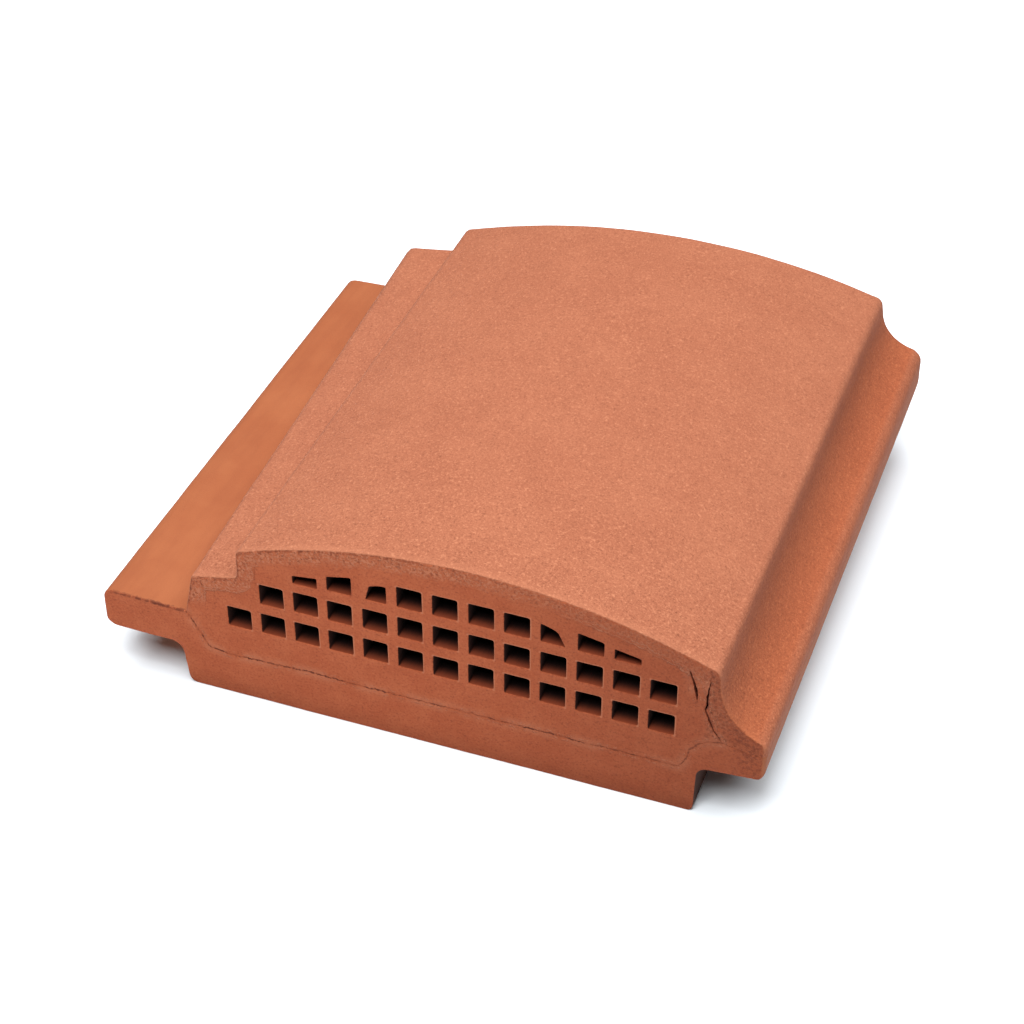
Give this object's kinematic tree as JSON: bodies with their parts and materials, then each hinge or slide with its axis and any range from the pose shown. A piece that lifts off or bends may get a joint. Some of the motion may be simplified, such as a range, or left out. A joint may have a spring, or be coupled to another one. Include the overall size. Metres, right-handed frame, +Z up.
{
  "type": "roof vent tile",
  "caption": "Interlocking clay roof tile with a raised arched hood closed at the front by a perforated clay grille, to ventilate a roof.",
  "frame": {"origin": "middle of the footprint, on the surface that the underside of the body rests on", "axes": "+X across the tile to the side-lap cover on the right seen from the grille, +Y from the grilled front to the back, +Z up out of the roof"},
  "size_m": [0.334, 0.3206, 0.1115],
  "materials": {
    "base_clay": "smooth matt fired clay, orange brown",
    "grille_clay": "matt fired clay, cut and slip-smoothed face, brown red",
    "hood_clay": "fine sanded matt fired clay, salmon terracotta"
  },
  "bodies": {
    "root": {"base_tile": "base_clay", "vent_grille": "grille_clay", "hood": "hood_clay"}
  },
  "joints": []
}
